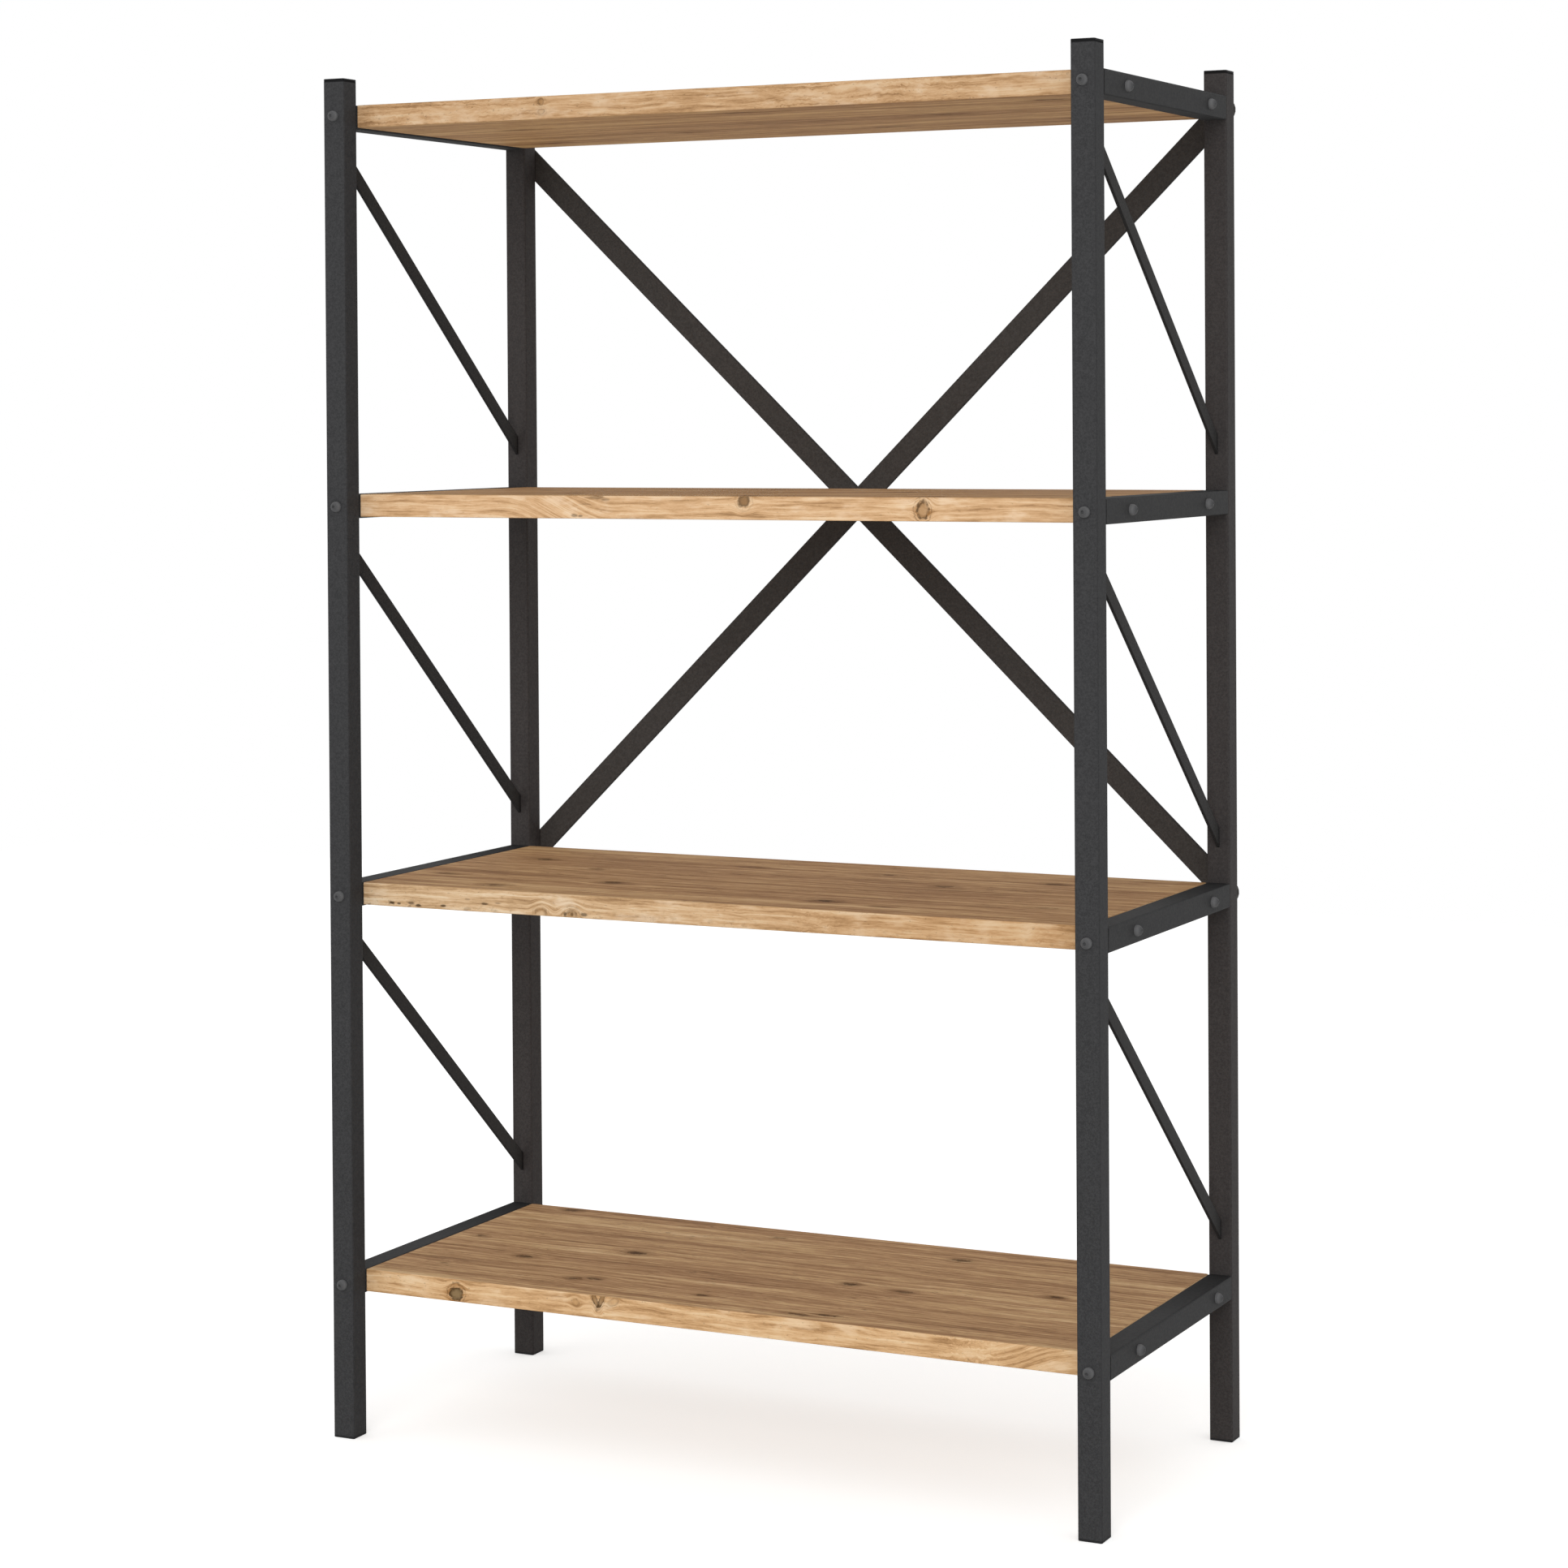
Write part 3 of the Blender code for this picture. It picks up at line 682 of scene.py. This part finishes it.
def makeEdgeWood(wire, board, x, y, z, middle):
    seed = board["seed"]
    busy = board["busy"]

    def settled(pair):
        return pair[0] + pair[1] * busy

    rear = fade(wire, y, *edgeWood["rearSpan"])
    along = x * (1.0 - rear * 2.0) + rear * edgeWood["rearShift"]
    up = z - middle
    spot = point(wire, along, y, up)
    wave = grainLayer(wire, edgeWood["waveLayer"], along, up, y, seed) - 0.5
    level = up + wave * settled(edgeWood["wave"])
    for start, end, fall in board["slants"]:
        level = level + fade(wire, along, start * mm, end * mm, 0.0, fall * mm)
    ragged = 0.0
    for swing, kind in zip(edgeWood["ragged"], edgeWood["raggedKinds"]):
        ragged = (cloud(wire, spot, *kind) - 0.5) * swing + ragged
    patches = cloud(wire, point(wire, along, up, edgeWood["patchDepth"]), *edgeWood["patchKind"])
    patchy = fade(wire, patches, *edgeWood["patchSpan"])
    rims = 0.0
    rings = 0.0
    fills = []
    for kx, kz, a, b, tilt, fill, fillStrength, rimStrength in board["knots"]:
        near = gridOf(wire, spot, (kx * mm, 0, kz * mm), (a * mm, None, b * mm), math.radians(tilt))
        far = reach(wire, near)
        torn = far + ragged
        level = level - (up - kz * mm) * fade(wire, far, *knotLook["pullSpan"])
        ripe = blend(wire, fade(wire, torn, *knotLook["ripeSpan"]), paint(fill), edgeWood["dark"])
        fills.append((fade(wire, torn, *knotLook["fillSpan"], fillStrength, 0.0), ripe))
        rim = fade(wire, size(wire, torn - knotLook["rimAt"]), *knotLook["rimSpan"], rimStrength, 0.0)
        outerStrength = rimStrength * knotLook["outerStrength"]
        outer = size(wire, torn - knotLook["outerAt"])
        outer = fade(wire, outer, *knotLook["outerSpan"], outerStrength, 0.0)
        rims = largest(wire, rims, largest(wire, rim, outer) * patchy)
        rings = largest(wire, rings, fade(wire, far, *knotLook["ringSpan"], rimStrength, 0.0))
    for start, end, strength in board["curls"]:
        reached = edgeWood["curlEnd"]
        inside = fade(wire, along, (start - reached) * mm, (start + reached) * mm)
        inside = inside * fade(wire, along, (end - reached) * mm, (end + reached) * mm, 1.0, 0.0)
        curl = grainLayer(wire, edgeWood["curlLayer"], along, up, y, seed) - 0.5
        level = level + curl * inside * (strength * edgeWood["curlHeight"])
    layers = {"soft": grainLayer(wire, edgeWood["softLayer"], along, up, y, seed)}
    for name, layer in edgeWood["layers"].items():
        layers[name] = grainLayer(wire, layer, along, level, y, seed)
    mixed = mixLayers(layers, {name: settled(pair) for name, pair in edgeWood["toneShares"].items()})
    share = fade(wire, mixed, *edgeWood["toneSpan"])
    colour = wire.node("ShaderNodeValToRGB", {"stops": edgeWood["stops"]}, {0: share})
    pale = fade(wire, layers["soft"], *edgeWood["paleSpan"]) * edgeWood["paleStrength"]
    colour = blend(wire, pale, colour, edgeWood["pale"])
    lines = fade(wire, mixLayers(layers, edgeWood["lineShares"]), *edgeWood["lineSpan"])
    colour = blend(wire, rings * lines, colour, edgeWood["ring"])
    if board["bark"]:
        flecks = grainLayer(wire, edgeWood["barkLayer"], along, up, y, seed)
        flecks = fade(wire, flecks, *edgeWood["barkSpan"])
        low = fade(wire, up, *edgeWood["barkRise"])
        left = fade(wire, along, *edgeWood["barkRun"])
        colour = blend(wire, flecks * low * left * board["bark"], colour, edgeWood["dark"])
    marks = 0.0
    for mx, mz, a, b, strength in board["marks"]:
        far = reach(wire, gridOf(wire, spot, (mx * mm, 0, mz * mm), (a * mm, None, b * mm)))
        far = far + ragged * edgeWood["markRagged"]
        marks = largest(wire, marks, fade(wire, far, *edgeWood["markSpan"], strength, 0.0))
    colour = blend(wire, marks, colour, edgeWood["dark"])
    specks = grainLayer(wire, edgeWood["speckLayer"], along, up, y, seed)
    specks = fade(wire, specks, *edgeWood["speckSpan"]) * settled(edgeWood["speckStrength"])
    colour = blend(wire, specks, colour, edgeWood["dark"])
    for mask, fill in fills:
        colour = blend(wire, mask, colour, fill)
    colour = blend(wire, rims, colour, edgeWood["dark"])
    left, right = board["tone"]
    tone = blend(wire, fade(wire, along, *edgeWood["toneRun"]), left + (1.0,), right + (1.0,))
    relief = mixLayers(layers, edgeWood["reliefShares"]) - rims * edgeWood["rimRelief"]
    return tint(wire, colour, tone), relief


def makeKnottyPine(name, board):
    material, wire = newLook("knottyPine_" + name)
    low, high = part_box(name)
    middle = (low[2] + high[2]) / 2
    x, y, z = parts(wire, place(wire))
    isFace = fade(wire, size(wire, normalParts(wire)[2]), *wood["faceSpan"])
    faceColour, faceHeight = makeFaceWood(wire, board, x, y, z, middle)
    edgeColour, edgeHeight = makeEdgeWood(wire, board, x, y, z, middle)
    height = edgeHeight * (1.0 - isFace) + faceHeight * isFace
    surface = {
        "Base Color": blend(wire, isFace, edgeColour, faceColour),
        "Roughness": wood["roughness"] + (0.5 - height) * wood["roughSwing"],
        "Specular IOR Level": wood["specular"],
    }
    finishLook(wire, surface, height, wood["depth"], wood["bump"])
    return material


def wear(name, look):
    for slot in nodes[name].material_slots:
        slot.material = look


boltGrey = [makeBoltGrey("boltGreySideways", 0), makeBoltGrey("boltGreyForwards", 1)]
capBlack = {end: makeCapBlack(end) for end in ("top", "foot")}

for name in nodes:
    if name.startswith("shelf_board"):
        wear(name, makeKnottyPine(name, boards[name]))
    elif "cap" in name:
        wear(name, capBlack[name.split("_")[0]])
    elif "bolt" in name:
        wear(name, boltGrey[0 if name.startswith("board_bolt") else 1])
    else:
        wear(name, makeCoatFor(name))
print("looks made:", len({piece.active_material.name for piece in nodes.values()}))

bolt = {
    "headRadius": 5.5 * mm,
    "rim": 1.5 * mm,
    "dome": 5.5 * mm,
    "domeSteps": 9,
    "domeAngle": 78,         # where the flat top of the dome begins
    "segments": 48,
    "shankRadius": 3.0 * mm,
    "tipBevel": 0.7 * mm,
    "socketRadius": 1.9 * mm,
    "socketDepth": 2.2 * mm,
    "softening": 0.12 * mm,
    "softSegments": 2,
    "softAngle": 40,
    "smoothAngle": 38,
    "rearLift": 0.3 * mm,
    "rearLevels": {"left": (1, 3, 4), "right": (1, 3)},    # where no cross bar ends
    "endOn": 0.9,            # the least rise of the normal of an end face
}


def putDown():
    if bpy.context.object and bpy.context.object.mode != "OBJECT":
        bpy.ops.object.mode_set(mode="OBJECT")
    bpy.ops.object.select_all(action="DESELECT")


def hold(piece):
    putDown()
    piece.select_set(True)
    bpy.context.view_layer.objects.active = piece


def pickEnd(piece, way):
    # selects the faces that look up, or down for a way of -1
    bpy.ops.object.mode_set(mode="EDIT")
    bpy.ops.mesh.select_mode(type="FACE")
    bpy.ops.mesh.select_all(action="DESELECT")
    mesh = bmesh.from_edit_mesh(piece.data)
    for face in mesh.faces:
        face.select_set(face.normal.z * way > bolt["endOn"])
    mesh.select_flush_mode()
    bmesh.update_edit_mesh(piece.data)


def applyAll(piece):
    hold(piece)
    for modifier in list(piece.modifiers):
        bpy.ops.object.modifier_apply(modifier=modifier.name)


def settle(piece, look):
    # place goes into the mesh, then the piece gets its look and its body
    hold(piece)
    bpy.ops.object.transform_apply(location=True, rotation=True, scale=True)
    piece.data.materials.clear()
    piece.data.materials.append(look)
    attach(piece, "root")


def grow(rise, widen):
    # pulls a new ring out of the selected face
    bpy.ops.mesh.extrude_region_move(TRANSFORM_OT_translate={"value": (0, 0, rise)})
    bpy.ops.transform.resize(value=(widen, widen, 1))


def makeDome():
    # pulls the selected face up in rings that lie on an ellipse
    last = math.radians(bolt["domeAngle"])
    width = 1.0
    tall = 0.0
    for step in range(1, bolt["domeSteps"] + 1):
        angle = last * step / bolt["domeSteps"]
        newWidth, newTall = math.cos(angle), math.sin(angle)
        grow((newTall - tall) * bolt["dome"] / math.sin(last), newWidth / width)
        width, tall = newWidth, newTall


def cutSocket(piece):
    top = bolt["rim"] + bolt["dome"]
    putDown()
    bpy.ops.mesh.primitive_cylinder_add(vertices=6, radius=bolt["socketRadius"],
                                        depth=2 * bolt["socketDepth"], location=(0, 0, top))
    cutter = bpy.context.object
    hold(piece)
    cut = piece.modifiers.new("socket", "BOOLEAN")
    cut.operation = "DIFFERENCE"
    cut.solver = "EXACT"
    cut.object = cutter
    applyAll(piece)
    bpy.data.objects.remove(cutter)


def makeBolt(name, shankLength):
    # stands on z = 0, where its head is seated, with the shank below
    putDown()
    bpy.ops.mesh.primitive_cylinder_add(vertices=bolt["segments"], radius=bolt["shankRadius"],
                                        depth=shankLength, location=(0, 0, -shankLength / 2))
    piece = bpy.context.object
    piece.name = name
    bpy.ops.object.transform_apply(location=True, rotation=True, scale=True)
    pickEnd(piece, -1)
    bpy.ops.mesh.bevel(offset=bolt["tipBevel"], offset_type="OFFSET", segments=1, affect="EDGES")
    bpy.ops.object.mode_set(mode="OBJECT")
    pickEnd(piece, 1)
    grow(0, bolt["headRadius"] / bolt["shankRadius"])
    grow(bolt["rim"], 1.0)
    makeDome()
    bpy.ops.object.mode_set(mode="OBJECT")
    cutSocket(piece)
    soft = piece.modifiers.new("edges", "BEVEL")
    soft.width = bolt["softening"]
    soft.segments = bolt["softSegments"]
    soft.limit_method = "ANGLE"
    soft.angle_limit = math.radians(bolt["softAngle"])
    applyAll(piece)
    hold(piece)
    bpy.ops.object.shade_smooth_by_angle(angle=math.radians(bolt["smoothAngle"]))
    return piece


def turnedTo(axis, sign):
    # turns a bolt's head, which looks up, towards an axis
    if axis == 0:
        return (0, sign * math.pi / 2, 0)
    return (-sign * math.pi / 2, 0, 0)


def copyBolt(master, name, seat, axis, sign):
    hold(master)
    bpy.ops.object.duplicate()
    piece = bpy.context.object
    piece.name = name
    piece.rotation_euler = turnedTo(axis, sign)
    piece.location = seat
    settle(piece, boltGrey[axis])
    return piece


def makeBolts():
    headHeight = bolt["rim"] + bolt["dome"]
    masters = {}
    for name in sorted(nodes):
        if "bolt" not in name:
            continue
        low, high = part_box(name)
        axis = 0 if name.startswith("board_bolt") else 1
        if name.startswith("rail_bolt") or (name.startswith("board_bolt") and "_left_" in name):
            sign = -1
        else:
            sign = 1
        length = high[axis] - low[axis] - headHeight
        key = round(length / mm, 2)
        if key not in masters:
            masters[key] = makeBolt("bolt_pattern", length)
        seat = [(a + b) / 2 for a, b in zip(low, high)]
        seat[axis] = high[axis] - headHeight if sign > 0 else low[axis] + headHeight
        piece = copyBolt(masters[key], "dome_" + name, seat, axis, sign)
        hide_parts(name)
        if name.startswith("rail_bolt"):
            railKey = key
    # the plain bolts in the backs of the back posts
    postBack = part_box("post_back_left")[1][1]
    for side, levels in bolt["rearLevels"].items():
        for level in levels:
            low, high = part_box("rail_bolt_%s_%d" % (side, level))
            seat = ((low[0] + high[0]) / 2, postBack + bolt["rearLift"], (low[2] + high[2]) / 2)
            copyBolt(masters[railKey], "rear_bolt_%s_%d" % (side, level), seat, 1, 1)
    for master in masters.values():
        bpy.data.objects.remove(master)


makeBolts()

studio = {
    "skyLevel": 0.75,
    "keyPlace": (1.5, -6.3, 2.9),
    "keySize": 3.6,
    "keyPower": 190.0,
    "fillPlace": (-3.4, -2.6, 1.8),
    "fillSize": 2.6,
    "fillPower": 10.0,
    "aim": (0.0, 0.0, 0.75),
    "floorSpan": 8.0,
    "floorDrop": 0.05 * mm,
    "floorTone": paint("#e9e9e8"),
    "floorPatch": paint("#dcdcdb"),
    "floorKind": (90.0, 2.0),
    "patchStrength": 0.06,
    "floorGlow": 0.49,
    "white": (1, 1, 1, 1),
}


def seenDirectly(wire):
    # 1 for what the camera, a reflection or a clear material sees
    outputs = wire.node("ShaderNodeLightPath", {}, {}).socket.node.outputs
    seen = 0.0
    for ray in ("Is Camera Ray", "Is Glossy Ray", "Is Transmission Ray"):
        seen = largest(wire, seen, Wire(wire.tree, outputs[ray]))
    return seen


def makeSky():
    world = bpy.data.worlds.new("studio")
    world.use_nodes = True
    world.node_tree.nodes.clear()
    wire = Wire(world.node_tree)
    soft, white = [
        wire.node("ShaderNodeBackground", {}, {"Color": studio["white"], "Strength": strength})
        for strength in (studio["skyLevel"], 1.0)
    ]
    sky = wire.node("ShaderNodeMixShader", {}, {0: seenDirectly(wire), 1: soft, 2: white})
    wire.node("ShaderNodeOutputWorld", {}, {0: sky})
    bpy.context.scene.world = world


def makeFloor():
    material, wire = newLook("paleFloor")
    patches = cloud(wire, place(wire), *studio["floorKind"])
    tone = blend(wire, patches * studio["patchStrength"], studio["floorTone"], studio["floorPatch"])
    matt = wire.node("ShaderNodeBsdfDiffuse", {}, {"Color": tone})
    glowing = {"Color": studio["white"], "Strength": studio["floorGlow"]}
    glow = wire.node("ShaderNodeEmission", {}, glowing)
    lit = wire.node("ShaderNodeAddShader", {}, {0: matt, 1: glow})
    ground = wire.node("ShaderNodeMixShader", {}, {0: seenDirectly(wire), 1: matt, 2: lit})
    wire.node("ShaderNodeOutputMaterial", {}, {0: ground})
    putDown()
    bpy.ops.mesh.primitive_plane_add(size=studio["floorSpan"], location=(0, 0, -studio["floorDrop"]))
    floor = bpy.context.object
    floor.name = "floor"
    floor.data.materials.append(material)


def makeLamp(name, spot, span, power):
    data = bpy.data.lights.new(name, "AREA")
    data.shape = "SQUARE"
    data.size = span
    data.energy = power
    lamp = bpy.data.objects.new(name, data)
    bpy.context.scene.collection.objects.link(lamp)
    away = Vector(spot) - Vector(studio["aim"])
    lamp.rotation_mode = "QUATERNION"
    lamp.rotation_quaternion = away.to_track_quat("Z", "Y")
    lamp.location = spot


makeSky()
makeFloor()
makeLamp("keyLamp", studio["keyPlace"], studio["keySize"], studio["keyPower"])
makeLamp("fillLamp", studio["fillPlace"], studio["fillSize"], studio["fillPower"])
bpy.context.scene.view_settings.view_transform = "Standard"
print("studio lit")
